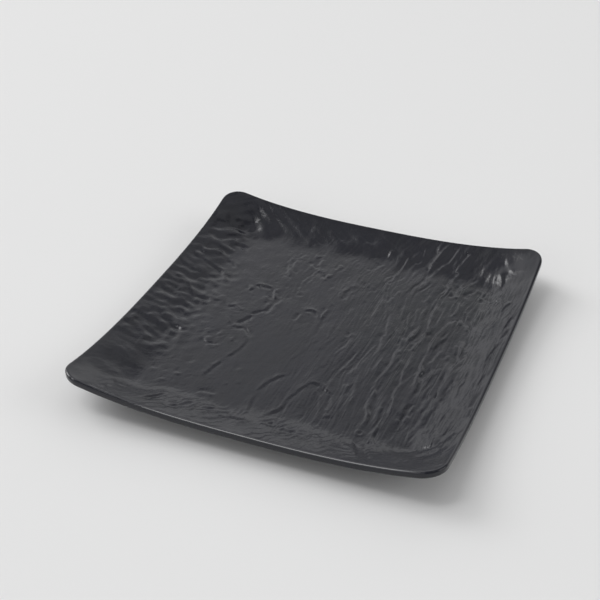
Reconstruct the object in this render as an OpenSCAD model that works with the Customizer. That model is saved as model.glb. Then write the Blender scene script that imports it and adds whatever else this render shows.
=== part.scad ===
// A square plate moulded in one piece, with a shallow dish, sides that turn up,
// corners that rise higher than the sides, and four anti-slip pads in its foot.
// The origin is the middle of the surface that the plate stands on, and +Z is up.
// The front of the plate is -Y.

/* [Plate] */
// Width of the plate across its sides
plate_w = 260; // [200:1:340]
// Radius of the plate's corners, seen from above
corner_r = 15; // [8:0.5:40]
// Thickness of the moulding, which is also the height of its edge
plate_t = 5.2; // [3.5:0.1:8]
// Width of the border that turns up round the level floor
border_w = 39; // [28:0.5:60]
// Width of the bend where the border leaves the level floor
bend_w = 14; // [4:0.5:24]
// Depth of the floor below the middle of each side
dish_depth = 9; // [4:0.1:20]
// Rise of each side from its middle to a corner, as if the corner were square
corner_rise = 12.6; // [2:0.1:25]
// How late the sides rise towards the corners: a higher value is later
rise_power = 2.7; // [2:0.1:5]
// Radius of the upper arris of the edge
upper_round = 1.4; // [0.5:0.1:2]
// Radius of the lower arris of the edge
lower_round = 1; // [0.5:0.1:2]

/* [Foot] */
// How far the square foot ring is set in from the rim of the level floor
foot_setback = 11; // [2:0.5:20]
// Width of the band that the foot ring stands on
foot_band = 16; // [14:0.5:24]
// Radius of the outer corners of the foot ring
foot_r = 24; // [18:0.5:40]
// Height of the foot ring below the middle of the underside
foot_h = 2.4; // [1.5:0.1:6]

/* [Pads] */
// Diameter of an anti-slip pad
pad_d = 12; // [6:0.5:13]
// Thickness of a pad
pad_t = 1.8; // [1.2:0.1:2.6]
// Depth of the recess that a pad is pressed into
recess_depth = 1; // [0.5:0.1:1.1]
// Gap all round between a pad and the wall of its recess
pad_gap = 0.15; // [0.05:0.05:0.4]
// Chamfer round the lower rim of a pad
pad_chamfer = 0.3; // [0.1:0.1:0.6]

/* [Hidden] */

// Levels above the surface that the plate stands on
foot_z = pad_t - recess_depth;
underside_z = foot_z + foot_h;
floor_z = underside_z + plate_t;

// Half widths
half_w = plate_w / 2;
floor_half = half_w - border_w;
foot_half = floor_half - foot_setback;
foot_inner_half = foot_half - foot_band;
foot_inner_r = foot_r - foot_band;

// Each pad lies on the middle of the foot band, where a diagonal crosses its corner
pad_turn_r = foot_r - foot_band / 2;
pad_offset = foot_half - foot_r + pad_turn_r * cos(45);

// Steps round the outline, and along the section
side_steps = 15;
corner_steps = 7;
quarter_steps = side_steps + corner_steps;
outline_steps = 4 * quarter_steps;
round_steps = 3;
border_steps = 10;

pad_sides = 96;

// Share of its full climb that a side has made at a distance from the plate's middle:
// nothing on the level floor, a parabola through the bend, then a straight slope
slope_start = floor_half + bend_w / 2;
function climb_share(distance) =
    let (past = distance - floor_half)
    (past <= 0 ? 0 : past < bend_w ? past * past / (2 * bend_w) : distance - slope_start)
    / (half_w - slope_start);

// Height of a side above the floor, at a distance from the side's middle
function side_height(distance) =
    dish_depth + corner_rise * pow(distance / half_w, rise_power);

// Height above the floor at any place: each side's own climb, less what two sides
// share in a corner
function rise(x, y) =
    let (
        climb_x = climb_share(abs(x)),
        climb_y = climb_share(abs(y))
    )
    side_height(abs(y)) * climb_x + side_height(abs(x)) * climb_y
    - side_height(half_w) * climb_x * climb_y;

// A place turned by a number of quarter turns about the origin
function quarter_turn(place, turns) =
    turns == 0 ? place
    : turns == 1 ? [-place.y, place.x]
    : turns == 2 ? [-place.x, -place.y]
    : [place.y, -place.x];

// A place on the +X side or on the corner after it, of a square with round corners
function quarter_place(step, half, r) =
    let (straight = half - r)
    step < side_steps
        ? [half, straight * (2 * step / side_steps - 1)]
        : let (angle = 90 * (step - side_steps) / corner_steps)
          [straight + r * cos(angle), straight + r * sin(angle)];

function outline_place(step, half, r) =
    quarter_turn(
        quarter_place(step % quarter_steps, half, r),
        floor(step / quarter_steps)
    );

// A row is one closed loop of the surface: half width, corner radius, height at the
// origin, and whether its height follows the dish (1) or is level (0)
function row(half, r, z, follows) = [half, r, z, follows];

function row_points(one_row) = [
    for (step = [0 : outline_steps - 1])
        let (place = outline_place(step, one_row[0], one_row[1]))
        [place.x, place.y, one_row[2] + one_row[3] * rise(place.x, place.y)]
];

// A row of the border, at a share of the way from the level floor out to an arris
function border_row(share, arris, z) =
    let (
        edge_half = half_w - arris,
        half = floor_half + (edge_half - floor_half) * share
    )
    row(half, (corner_r - arris) * half / edge_half, z, 1);

// How far an arris of radius r has drawn in, and has dropped, at an angle up its arc
function arris_inset(r, angle) = r * (1 - cos(angle));
function arris_drop(r, angle) = r * (1 - sin(angle));

// The foot ring: its inner wall, the level band that it stands on, and its outer wall
foot_rows = [
    row(foot_inner_half, foot_inner_r, underside_z, 0),
    row(foot_inner_half, foot_inner_r, foot_z, 0),
    row(foot_half, foot_r, foot_z, 0),
    row(foot_half, foot_r, underside_z, 0)
];

// Underside of the border, from the level floor to the edge's lower arris
underside_rows = [
    for (k = [0 : border_steps - 1])
        border_row(k / border_steps, lower_round, underside_z)
];

lower_arris_rows = [
    for (k = [0 : round_steps])
        let (angle = 90 * (1 - k / round_steps))
        row(
            half_w - arris_inset(lower_round, angle),
            corner_r - arris_inset(lower_round, angle),
            underside_z + arris_drop(lower_round, angle),
            1
        )
];

upper_arris_rows = [
    for (k = [0 : round_steps])
        let (angle = 90 * k / round_steps)
        row(
            half_w - arris_inset(upper_round, angle),
            corner_r - arris_inset(upper_round, angle),
            floor_z - arris_drop(upper_round, angle),
            1
        )
];

// Top of the border, from the edge's upper arris in to the level floor
dish_rows = [
    for (k = [1 : border_steps])
        border_row(1 - k / border_steps, upper_round, floor_z)
];

plate_rows = concat(
    foot_rows,
    underside_rows,
    lower_arris_rows,
    upper_arris_rows,
    dish_rows
);

// The moulding as one closed surface, row by row from the middle of the underside,
// round the edge, to the middle of the dish
module moulding() {
    row_count = len(plate_rows);
    last_row = 1 + (row_count - 1) * outline_steps;
    dish_middle = 1 + row_count * outline_steps;
    points = concat(
        [[0, 0, underside_z]],
        [for (one_row = plate_rows) each row_points(one_row)],
        [[0, 0, floor_z]]
    );
    underside_cap = [
        for (step = [0 : outline_steps - 1])
            [0, 1 + step, 1 + (step + 1) % outline_steps]
    ];
    dish_cap = [
        for (step = [0 : outline_steps - 1])
            [dish_middle, last_row + (step + 1) % outline_steps, last_row + step]
    ];
    between_rows = [
        for (k = [0 : row_count - 2], step = [0 : outline_steps - 1])
            let (
                here = 1 + k * outline_steps,
                next = here + outline_steps,
                after = (step + 1) % outline_steps
            )
            each [
                [here + step, next + step, next + after],
                [here + step, next + after, here + after]
            ]
    ];
    polyhedron(points, concat(underside_cap, between_rows, dish_cap), convexity = 6);
}

// The four corners of the foot band, as signs along X and Y
module at_pad_place(side_x, side_y) {
    translate([side_x * pad_offset, side_y * pad_offset, 0])
        children();
}

module plate_body() {
    color([0.055, 0.055, 0.06])
        difference() {
            moulding();
            for (side_x = [-1, 1], side_y = [-1, 1])
                at_pad_place(side_x, side_y)
                    cylinder(h = pad_t, d = pad_d + 2 * pad_gap, $fn = pad_sides);
        }
}

// A round pad with a chamfered lower rim, its top against the recess's ceiling
module pad(side_x, side_y) {
    color([0.03, 0.03, 0.03])
        at_pad_place(side_x, side_y)
            rotate_extrude($fn = pad_sides)
                polygon([
                    [0, 0],
                    [pad_d / 2 - pad_chamfer, 0],
                    [pad_d / 2, pad_chamfer],
                    [pad_d / 2, pad_t],
                    [0, pad_t]
                ]);
}

plate_body();
pad(-1, -1);  // pad_front_left
pad(1, -1);  // pad_front_right
pad(-1, 1);  // pad_back_left
pad(1, 1);  // pad_back_right
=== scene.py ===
import math

import bmesh
import bpy
import numpy as np
from mathutils import Matrix, Vector


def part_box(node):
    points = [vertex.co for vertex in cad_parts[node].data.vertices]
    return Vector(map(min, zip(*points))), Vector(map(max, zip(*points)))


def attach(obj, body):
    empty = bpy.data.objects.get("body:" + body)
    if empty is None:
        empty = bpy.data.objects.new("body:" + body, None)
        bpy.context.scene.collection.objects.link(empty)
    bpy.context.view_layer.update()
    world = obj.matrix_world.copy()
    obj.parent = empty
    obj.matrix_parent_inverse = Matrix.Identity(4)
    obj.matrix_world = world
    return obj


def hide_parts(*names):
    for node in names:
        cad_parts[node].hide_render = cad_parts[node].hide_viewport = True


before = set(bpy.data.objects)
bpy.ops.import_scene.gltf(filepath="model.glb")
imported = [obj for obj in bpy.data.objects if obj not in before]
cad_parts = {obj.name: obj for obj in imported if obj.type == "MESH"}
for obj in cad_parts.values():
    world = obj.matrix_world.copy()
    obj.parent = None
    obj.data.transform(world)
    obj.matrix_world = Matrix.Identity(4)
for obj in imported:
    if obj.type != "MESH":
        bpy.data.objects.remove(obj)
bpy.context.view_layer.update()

# Meshes are worked out in millimetres and scaled to metres at the end
MM = 0.001

# Sizes of the moulding, as in the part
body_low, body_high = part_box("plate_body")
HALF_W = body_high.x / MM
CORNER_R = 15
PLATE_T = 5.2
BORDER_W = 39
BEND_W = 14
DISH_DEPTH = 9
CORNER_RISE = 12.6
RISE_POWER = 2.7
UPPER_ROUND = 1.4
LOWER_ROUND = 1
FOOT_SETBACK = 11
FOOT_BAND = 16
FOOT_R = 24
FOOT_H = 2.4
PAD_GAP = 0.15

PADS = ["pad_front_left", "pad_front_right", "pad_back_left", "pad_back_right"]
pad_low, pad_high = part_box("pad_back_right")
PAD_R = (pad_high.x - pad_low.x) / 2 / MM
PAD_OFFSET = (pad_high.x + pad_low.x) / 2 / MM
RECESS_Z = pad_high.z / MM

FOOT_Z = body_low.z / MM
UNDERSIDE_Z = FOOT_Z + FOOT_H
FLOOR_Z = UNDERSIDE_Z + PLATE_T
FLOOR_HALF = HALF_W - BORDER_W
FOOT_HALF = FLOOR_HALF - FOOT_SETBACK
FOOT_INNER_HALF = FOOT_HALF - FOOT_BAND
FOOT_INNER_R = FOOT_R - FOOT_BAND
SLOPE_START = FLOOR_HALF + BEND_W / 2

# Cells of the dish's mesh each way, and cells that one step of the underside spans
CELLS_X = 325
CELLS_Y = 245
COARSE_CELLS = 5
# How much closer the columns stand on the finely ridged right side
SIDE_BIAS = 0.13
# The upper arris is broken by a narrow bevel, between these angles up its arc
BEVEL_HEAD = 77
BEVEL_FOOT = 47
# Height of the narrow rows that keep the wall's shading flat
WALL_HEM = 0.25
# Share of the bevel's width that each of its own two narrow rows takes
BEVEL_HEM = 0.1
# Angles up the lower arris, rows under the border, and sides of a pad's recess
LOWER_ARRIS_ANGLES = (30, 60, 90)
BORDER_STEPS = 7
RECESS_SIDES = 48
# Edges that turn by more than this stay sharp
CREASE_DEGREES = 45
# Least divisor, where a length can be nothing
LEAST = 1e-9


# The form of the plate


def climb_share(distance):
    """Share of its full climb that a side has made, as an array over distances."""
    past = distance - FLOOR_HALF
    bend = past * past / (2 * BEND_W)
    climb = np.where(past < BEND_W, bend, distance - SLOPE_START)
    return np.where(past <= 0, 0, climb) / (HALF_W - SLOPE_START)


def side_height(distance):
    return DISH_DEPTH + CORNER_RISE * (distance / HALF_W) ** RISE_POWER


def rise(x, y):
    """Height above the floor at any place, with both sides' climbs in a corner."""
    climb_x = climb_share(abs(x))
    climb_y = climb_share(abs(y))
    shared = side_height(HALF_W) * climb_x * climb_y
    return side_height(abs(y)) * climb_x + side_height(abs(x)) * climb_y - shared


def outline(unit_x, unit_y, half, r):
    """Places on nested squares with round corners, for points of the unit square.

    A point on the unit square's rim goes to the outline of that half width and corner
    radius, and a point inside it to the same outline drawn smaller.
    """
    ring = np.maximum(np.maximum(abs(unit_x), abs(unit_y)), LEAST)
    on_x_side = abs(unit_x) >= abs(unit_y)
    along_share = np.where(on_x_side, unit_y, unit_x) / ring
    straight = half - r
    along = abs(along_share) * (straight + r * math.pi / 4)
    angle = np.maximum(along - straight, 0) / max(r, LEAST)
    out = straight + r * np.cos(angle)
    side = np.where(along < straight, along, straight + r * np.sin(angle))
    side = np.copysign(side, along_share)
    x = np.where(on_x_side, np.copysign(out, unit_x), side)
    y = np.where(on_x_side, side, np.copysign(out, unit_y))
    return ring * x, ring * y


# Mesh helpers


def add_object(name, data):
    made = bpy.data.objects.new(name, data)
    bpy.context.scene.collection.objects.link(made)
    return made


def add_mesh(name, bm, material):
    """Turns a bmesh into an object with one material."""
    mesh = bpy.data.meshes.new(name)
    bm.to_mesh(mesh)
    bm.free()
    mesh.materials.append(material)
    return add_object(name, mesh)


def settle(verts, x, y, z):
    """Moves vertices to places that are held below the top of the part's box."""
    z = np.minimum(z, body_high.z / MM)
    for vert, place in zip(verts, zip(x, y, z)):
        vert.co = place


def edges_among(verts, edges):
    """Those of the edges that join two of the vertices."""
    verts = set(verts)
    return [edge for edge in edges if all(vert in verts for vert in edge.verts)]


def extrude(bm, edges):
    """Extrudes a ring of edges where it is, into new vertices and the edges among them."""
    grown = bmesh.ops.extrude_edge_only(bm, edges=edges)["geom"]
    verts = [item for item in grown if isinstance(item, bmesh.types.BMVert)]
    grown_edges = [item for item in grown if isinstance(item, bmesh.types.BMEdge)]
    return verts, edges_among(verts, grown_edges)


def place_ring(verts, unit, half, r, level, follows=True, inset=0):
    """Moves a ring of vertices to an outline, either level or raised with the dish.

    inset is how far in from the ring the dish's height is read.
    """
    unit_x, unit_y = np.array([vert[unit].xy for vert in verts]).T
    x, y = outline(unit_x, unit_y, half, r)
    z = np.full_like(x, level)
    if follows:
        z += rise(*outline(unit_x, unit_y, half - inset, r - inset))
    settle(verts, x, y, z)


def extrude_ring(bm, edges, unit, half, r, level, follows=True, inset=0):
    """Grows one more row from a ring of edges and returns the new ring's edges."""
    verts, ring = extrude(bm, edges)
    place_ring(verts, unit, half, r, level, follows, inset)
    return ring


def arc_place(radius, degrees):
    """How far an arris has drawn in and dropped, at an angle up its arc from the wall."""
    angle = math.radians(degrees)
    return radius * (1 - math.cos(angle)), radius * (1 - math.sin(angle))


def upper_arris():
    """Places down the upper arris, with close rows at both ends of its flat bevel."""
    head = arc_place(UPPER_ROUND, BEVEL_HEAD)
    foot = arc_place(UPPER_ROUND, BEVEL_FOOT)
    hems = [
        [a + (b - a) * share for a, b in zip(head, foot)]
        for share in (BEVEL_HEM, 1 - BEVEL_HEM)
    ]
    start = arc_place(UPPER_ROUND, (90 + BEVEL_HEAD) / 2)
    end = arc_place(UPPER_ROUND, BEVEL_FOOT / 2)
    return [start, head, *hems, foot, end, arc_place(UPPER_ROUND, 0)]


# The slate relief of the dish

# A line of the slate is (half width, height, places), in millimetres. The first three
# lists are of low steps, and differ in the way that the steps' faces turn.

# Steps whose faces turn to the back and the left
BACK_FACING_STEPS = [
    (2.2, 0.26, [
        (-70, 121), (-60, 116), (-53, 110.5), (-45.5, 106), (-40, 102), (-34.5, 96.5),
        (-31.5, 92),
    ]),
    (1.8, 0.18, [(-52, 121), (-43, 116), (-36, 111.5)]),
    (1.8, 0.18, [(-40, 120), (-30, 113), (-20, 108)]),
    (1.8, 0.2, [(-7, 115), (-3, 113.5), (1.5, 112.5)]),
    (0.9, 0.16, [(-54.5, 79), (-54, 71)]),
    (1.2, 0.14, [(-47.3, 86), (-46.8, 78)]),
    (1, 0.3, [(-32, 85), (-30.5, 76)]),
    (1, 0.26, [(-36, 76), (-33.5, 73), (-31.5, 70.5)]),
    (0.9, 0.24, [(-31, 67.5), (-30, 64), (-29, 57)]),
    (1.2, 0.4, [(-21.5, 67), (-20.5, 65), (-19, 62)]),
    (1.2, 0.22, [(-91, 39), (-88, 36), (-85.5, 32.5)]),
    (1.2, 0.45, [(-121, 61), (-116.5, 58), (-112, 61), (-109, 63.3), (-105, 63.3), (-98, 60.5)]),
    (1.1, 0.35, [(-110, 61), (-107, 56.5)]),
    (1.3, 0.3, [(-106, 71.5), (-98, 71.5)]),
    (1.5, 0.35, [(-103, 78), (-97, 77), (-90, 75)]),
    (2.6, 0.8, [(-121, 79), (-116.5, 86), (-112, 91), (-109, 94.5), (-103, 97.5)]),
    (2.2, 0.65, [(-119, 69), (-113, 75.5), (-107.5, 81), (-100, 87)]),
    (1.8, 0.2, [(-116, 98), (-112, 105), (-107, 108.5), (-99, 109.5)]),
    (1.4, 0.35, [(-112, 97), (-109.5, 101), (-106, 106)]),
    (1.3, 0.16, [(-104, 97), (-101.5, 101), (-99.5, 105)]),
    (1.4, 0.16, [(-92, 97), (-86, 91), (-81, 84.5), (-78, 78)]),
    (1.1, 0.28, [(-62.5, 38.7), (-57, 38.2), (-51, 37.2)]),
    (1.1, 0.28, [(-63.5, 32.3), (-58, 33.6), (-50.5, 33)]),
    (0.9, 0.3, [(-69.5, 33.5), (-66.8, 28.5)]),
    (1, 0.45, [(-49.8, 37), (-48.2, 32), (-46.5, 26.5), (-45.3, 21.5)]),
    (1.2, 0.24, [(-42.7, 1), (-41.8, 8), (-41.5, 15), (-40, 21), (-38, 28.5)]),
    (1.2, 0.45, [(-98.5, 5), (-93, 2.8), (-87, 2.6)]),
    (0.9, 0.3, [(-19.3, 14.5), (-19.5, 9), (-19.5, 3)]),
    (1, 0.32, [(-4.5, 28.5), (-4.2, 21), (-4.5, 12.5)]),
    (0.9, 0.55, [(30.6, 110), (30, 100), (28.6, 90), (27.4, 82), (26.7, 75)]),
    (1, 0.3, [(24.3, 73.5), (25.5, 68), (27, 61.5)]),
    (1.1, 0.22, [(26.8, 54), (28.6, 44), (29.5, 34), (29.3, 27)]),
    (1, 0.32, [(40, 120), (41.3, 109)]),
    (1.1, 0.4, [(41.6, 109), (39.8, 102)]),
    (0.9, 0.22, [(49, 125), (49.5, 117)]),
    (1, 0.45, [(53.5, 120), (50.5, 110), (48.6, 103), (50.2, 97)]),
    (1.2, 0.4, [(57.2, 106.5), (56.5, 101)]),
    (1.8, 0.3, [(55.5, 98.5), (51.8, 91), (52.5, 86), (54, 80)]),
    (1.1, 0.6, [(75, 121.5), (72.5, 115), (71.2, 110)]),
    (1, 0.6, [(73.3, 107.5), (72.3, 101.5), (69.3, 95), (68.2, 87.5), (69.3, 81), (67.5, 70.5)]),
    (0.9, 0.5, [(77.2, 89), (77.4, 79)]),
    (1.2, 0.34, [(79.3, 81), (82.3, 90), (86.5, 97.5), (91, 100.5)]),
    (1.2, 0.28, [(89.8, 90), (87.5, 80)]),
    (1, 0.42, [(80.3, 68.5), (83.2, 62), (82.8, 54.5), (81, 48)]),
    (1.1, 0.48, [(81.2, 49.5), (82.4, 43), (81.4, 36), (79.5, 29), (78.5, 22.5), (78.2, 12), (79, 1)]),
    (1, 0.6, [
        (64.3, 62.5), (65.2, 58.5), (67.8, 53.5), (68.2, 44.5), (69, 35.5), (71, 27.5),
        (68.5, 18), (68, 12.5),
    ]),
    (0.8, 0.45, [(67.9, 8.5), (67.2, 1)]),
    (1, 0.34, [(71.5, 22), (70.4, 15.5), (69.3, 8)]),
    (1.1, 0.4, [(62.3, 27), (61.8, 18), (61, 10.5)]),
    (1.2, 0.3, [
        (39.3, 40), (41.4, 32), (43.2, 23), (45.5, 13.5), (44.6, 8), (46.2, 0), (47, -8),
        (47.4, -19),
    ]),
    (1.1, 0.26, [(45.8, 51), (46.8, 43), (49.8, 32.5)]),
    (1.1, 0.28, [(53, 44), (54, 33.5), (57, 27), (59, 21.5)]),
    (1.1, 0.32, [(49.3, 22), (54, 12.8), (57.7, 7.3), (60, 1.5)]),
    (0.9, 0.24, [(58.5, 68.5), (59.2, 60)]),
    (1, 0.22, [(33.8, 56.5), (35.2, 50)]),
    (1, 0.2, [(35.9, 66.5), (37, 60)]),
    (1, 0.24, [(11.2, 68), (12.5, 61.5)]),
    (1.3, 0.24, [(14.4, 112.5), (15.1, 103)]),
    (1.1, 0.2, [(14.3, 95.5), (13, 90)]),
    (1, 0.32, [(93.7, 86.5), (96.3, 81)]),
    (1.1, 0.42, [(101.9, 94.5), (101.3, 84.5)]),
    (1.1, 0.48, [(97.7, 67.5), (98.6, 57.5), (97.7, 48), (99, 41)]),
    (1, 0.32, [(91.3, 56.5), (93.8, 47), (96.3, 42)]),
    (0.8, 0.42, [(88.5, 47.5), (89, 40.5)]),
    (0.9, 0.32, [(86.2, 46.5), (84.8, 41)]),
    (1.1, 0.6, [(94, 25), (97.5, 19.5), (99, 12.8), (100.4, 5.5), (101.4, -1), (100, -7), (99, -12.5)]),
    (1, 0.55, [(99.2, -11), (100, -18), (99, -25), (98.6, -32), (99.5, -39), (98.6, -46), (98, -53)]),
    (1.1, 0.3, [(98.2, -51), (96.8, -63), (94.5, -75), (91, -84)]),
    (1, 0.3, [(94, 19), (96, 6.5)]),
    (0.8, 0.3, [(92.2, 5.5), (92.4, -1)]),
    (1, 0.34, [(88, 12), (86.3, 4), (85, -4), (83, -11)]),
    (1.1, 0.45, [(86.6, -11), (87.8, -17), (85.8, -28)]),
    (1, 0.34, [(91.5, -10), (91.4, -19)]),
    (1.1, 0.48, [(95.2, -39), (94, -49.5), (91.5, -60)]),
    (1, 0.48, [(87.4, -52.5), (87.2, -60)]),
    (1.3, 0.5, [(86.2, -63.5), (85.4, -72)]),
    (0.9, 0.35, [(22.2, 6), (22.9, 0)]),
    (1.1, 0.24, [(24, 0.5), (24.6, -8), (24, -16)]),
    (1.1, 0.26, [(33.6, -9), (34, -18), (33.2, -27), (31, -37)]),
    (1.1, 0.28, [(38.5, -18), (39.5, -27), (37.7, -35), (36.5, -40)]),
    (1, 0.24, [(51.4, -12), (51.5, -22), (51, -31)]),
    (1, 0.65, [
        (58.8, 5), (58.2, -6), (59.5, -13), (59, -22.5), (57.7, -31.5), (56.4, -41),
        (55.8, -47),
    ]),
    (1, 0.34, [(57.3, -57), (59.5, -65), (62.3, -72.5), (63.2, -79), (62, -86)]),
    (1, 0.55, [
        (69, 6), (70, -4), (70.6, -13), (70.2, -22.5), (72.3, -35), (71.8, -46), (74, -57),
        (75, -64), (73.8, -75),
    ]),
    (1, 0.32, [(71.9, -80), (71.3, -92)]),
    (1, 0.38, [(79.3, 4), (78.6, -3), (79, -11.5), (80.5, -20.5), (80.5, -28), (82.3, -38)]),
    (1.1, 0.24, [(32.5, -61.5), (35.2, -65.5), (37.4, -71), (38.3, -78)]),
    (1.2, 0.16, [(21, -60), (26.8, -65), (30.5, -69)]),
    (1.2, 0.24, [(-91, -79.5), (-85, -80)]),
    (1.1, 0.2, [(-80.5, -79.5), (-76, -79.5)]),
    (1.2, 0.3, [(-73.5, -78.5), (-67.5, -77.8)]),
    (1.2, 0.18, [(-79.5, -88), (-75, -87.5)]),
    (1.2, 0.32, [(-50.5, -93.5), (-45.5, -90.8), (-40, -90.3), (-34.5, -90)]),
    (1, 0.16, [(-64, -61.5), (-69.5, -68)]),
    (1, 0.16, [(-31.5, -57.5), (-36, -62.5)]),
    (1.1, 0.26, [(-66.5, -42.3), (-62, -41.8), (-57, -39.3)]),
    (1.2, 0.2, [(-62.5, -24), (-65.5, -32)]),
    (0.7, 0.12, [(-108, -49), (-109.5, -58.5), (-108.6, -68), (-107.6, -78)]),
    (1.8, 0.36, [(-109, -25), (-102, -22.3), (-92.5, -25.5)]),
    (1.6, 0.36, [(-108, -14), (-102, -11), (-96.5, -12.5)]),
    (1.8, 0.45, [(-52, -115.3), (-47, -114), (-41.5, -113)]),
    (1.6, 0.4, [(-51.5, -116), (-57.5, -122)]),
    (1.6, 0.3, [(-73, -116), (-70.5, -118.5)]),
    (2.4, 0.4, [(-17.5, -110.5), (-12, -110), (-7.5, -110.5)]),
    (1.8, 0.24, [(-35, -101), (-29, -101.8)]),
    (1.8, 0.45, [(3.5, -107.8), (8, -107.5), (14, -107.8)]),
    (1.3, 0.34, [(71.3, -96), (76, -99.5), (78.8, -108)]),
    (2.6, 0.55, [(105.5, -99), (113, -96), (117, -91.5), (122.3, -81.5), (124.5, -75)]),
    (2, 0.4, [(106.5, -113), (113, -108.6), (117, -104), (121.5, -96)]),
    (2, 0.32, [(98.5, -100.5), (103.5, -95.5)]),
    (0.8, 0.26, [(115.3, 55), (113.2, 46.5), (111.2, 38)]),
    (1.2, 0.35, [(117, 74.5), (112.5, 69.5)]),
]

# Steep steps whose faces turn to the front and the left, where they catch the key light
GLINTS = [
    (0.9, 0.3, [(-49.5, 79), (-49, 71), (-47.5, 62)]),
    (1.1, 0.36, [(-54, 72), (-51, 64), (-48.5, 58), (-46, 53)]),
    (1.2, 0.4, [(-117, 48), (-108, 45.5), (-102.7, 44.8), (-96.5, 42.3), (-93.5, 40), (-90, 36)]),
    (1.2, 0.36, [(-123, 50), (-119.5, 47.5), (-116, 45)]),
    (0.9, 0.28, [(-60, -17.3), (-54, -16.8), (-49, -16.2)]),
    (0.8, 0.28, [(-53.5, -10.5), (-48.5, -16), (-43.5, -21.5)]),
    (1.2, 0.42, [(66.5, 126), (63.4, 117.5), (62, 111), (60, 104)]),
    (0.9, 0.32, [(98, 79.5), (103.8, 77), (107.5, 76), (113, 74)]),
    (1.1, 0.36, [(102, 121), (105.3, 113), (108.5, 108.3), (113, 104.5)]),
    (0.9, 0.3, [(97.5, 45), (101.8, 35.5), (105, 30.2), (108.2, 29.5), (113, 27)]),
    (0.9, 0.32, [(22.5, -53), (26.8, -57.8), (29.5, -60), (34.5, -62.8)]),
]

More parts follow.
